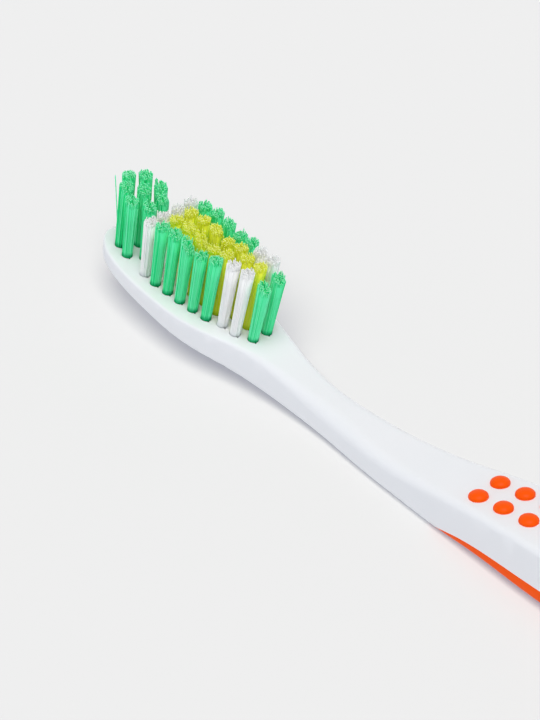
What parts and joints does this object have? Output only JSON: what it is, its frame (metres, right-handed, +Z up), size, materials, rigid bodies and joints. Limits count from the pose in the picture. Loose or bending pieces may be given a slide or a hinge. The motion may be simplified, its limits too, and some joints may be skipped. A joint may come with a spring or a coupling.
{
  "type": "manual toothbrush",
  "caption": "Manual toothbrush: a long white handle swept into a slim neck and an oval head of green, yellow and white tufts, with an orange soft grip under it and dots on the thumb rest.",
  "frame": {"origin": "under the middle of the brush's length, on the surface that the handle's back rests on", "axes": "+X from the toe of the head to the butt of the handle, +Y across the brush, +Z up from the rest surface towards the bristle tips"},
  "size_m": [0.1898, 0.0136, 0.0208],
  "materials": {
    "handle_white": "satin moulded plastic",
    "grip_orange": "satin soft-touch rubber",
    "bristle_green": "translucent nylon filaments",
    "bristle_yellow": "translucent nylon filaments",
    "bristle_white": "translucent nylon filaments",
    "anchor_brass": "stamped strip"
  },
  "bodies": {
    "root": {"handle_body": "handle_white", "grip_pad": "grip_orange", "anchor_plates": "anchor_brass", "tuft_row_eight_far_outer": "bristle_white", "tuft_row_eight_middle": "bristle_yellow", "tuft_row_eight_near_outer": "bristle_white", "tuft_row_five_far_inner": "bristle_yellow", "tuft_row_five_far_outer": "bristle_green", "tuft_row_five_near_inner": "bristle_yellow", "tuft_row_five_near_outer": "bristle_green", "tuft_row_four_far_inner": "bristle_yellow", "tuft_row_four_far_outer": "bristle_green", "tuft_row_four_near_inner": "bristle_yellow", "tuft_row_four_near_outer": "bristle_green", "tuft_row_nine_far_outer": "bristle_green", "tuft_row_nine_near_outer": "bristle_green", "tuft_row_one_far_inner": "bristle_white", "tuft_row_one_far_outer": "bristle_white", "tuft_row_one_near_inner": "bristle_white", "tuft_row_one_near_outer": "bristle_white", "tuft_row_seven_far_outer": "bristle_white", "tuft_row_seven_middle": "bristle_yellow", "tuft_row_seven_near_outer": "bristle_white", "tuft_row_six_far_inner": "bristle_yellow", "tuft_row_six_far_outer": "bristle_green", "tuft_row_six_near_inner": "bristle_yellow", "tuft_row_six_near_outer": "bristle_green", "tuft_row_three_far_inner": "bristle_yellow", "tuft_row_three_far_outer": "bristle_green", "tuft_row_three_near_inner": "bristle_yellow", "tuft_row_three_near_outer": "bristle_green", "tuft_row_two_far_inner": "bristle_yellow", "tuft_row_two_far_outer": "bristle_green", "tuft_row_two_near_inner": "bristle_yellow", "tuft_row_two_near_outer": "bristle_green", "tuft_toe_far_back": "bristle_green", "tuft_toe_far_flank": "bristle_green", "tuft_toe_far_side": "bristle_green", "tuft_toe_middle": "bristle_green", "tuft_toe_near_back": "bristle_green", "tuft_toe_near_flank": "bristle_green", "tuft_toe_near_side": "bristle_green", "tuft_toe_tip": "bristle_green"}
  },
  "joints": []
}
